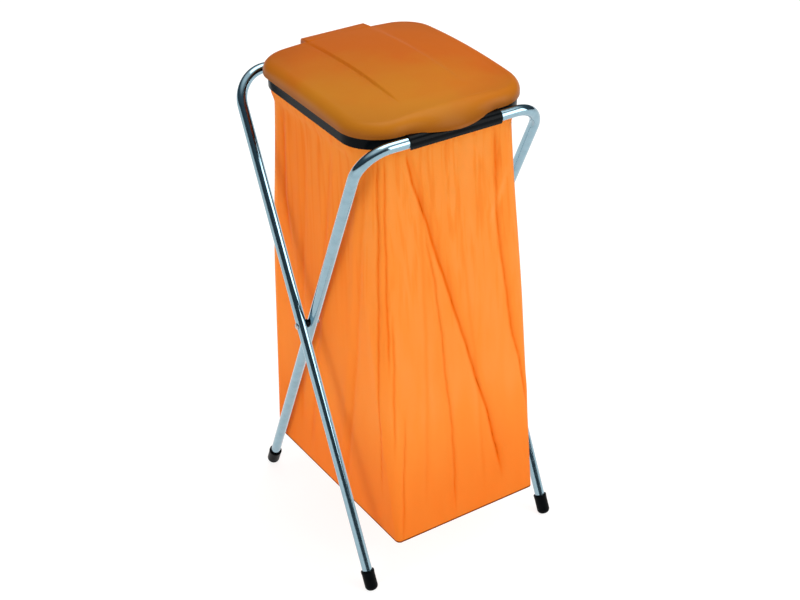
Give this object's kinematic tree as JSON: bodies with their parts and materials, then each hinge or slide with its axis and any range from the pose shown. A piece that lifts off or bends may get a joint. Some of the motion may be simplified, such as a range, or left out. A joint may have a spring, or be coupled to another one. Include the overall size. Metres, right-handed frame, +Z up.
{
  "type": "bin bag holder",
  "caption": "Folding stand of crossed bent tubes whose top ring, under a hinged domed lid, holds a large plastic waste bag open.",
  "frame": {"origin": "on the floor under the middle of the stand", "axes": "+Z up, +X to the right seen from the front, front towards -Y"},
  "size_m": [0.403, 0.4386, 0.8927],
  "materials": {
    "bright_steel": "bright plated tube",
    "rivet_steel": "plain rivet steel",
    "black_plastic": "satin black moulding",
    "orange_film": "thin cloudy film",
    "orange_plastic": "smooth semi-gloss moulding"
  },
  "bodies": {
    "outer_frame": {"outer_frame": "bright_steel", "front_caps": "black_plastic", "pivot_rivets": "rivet_steel", "pivot_spacers": "black_plastic"},
    "inner_frame": {"inner_frame": "bright_steel", "rear_caps": "black_plastic"},
    "ring": {"bag_ring": "black_plastic", "grip_ring": "black_plastic", "bag": "orange_film"},
    "lid": {"lid": "orange_plastic"}
  },
  "joints": [
    {"name": "fold", "type": "hinge", "parent": "outer_frame", "child": "inner_frame", "pos_m": [0, 0, 0.44884], "axis": [-1, 0, 0], "range_deg": [0, 46], "deforming": ["bag"]},
    {"name": "ring", "type": "hinge", "parent": "outer_frame", "child": "ring", "pos_m": [0, 0.188, 0.845], "axis": [-1, 0, 0], "range_deg": [0, 138]},
    {"name": "lid", "type": "hinge", "parent": "ring", "child": "lid", "pos_m": [0, 0.188, 0.845], "axis": [-1, 0, 0], "range_deg": [0, 105]}
  ],
  "couplings": [
    {"joint": "ring", "follows": "fold", "ratio": 3}
  ]
}
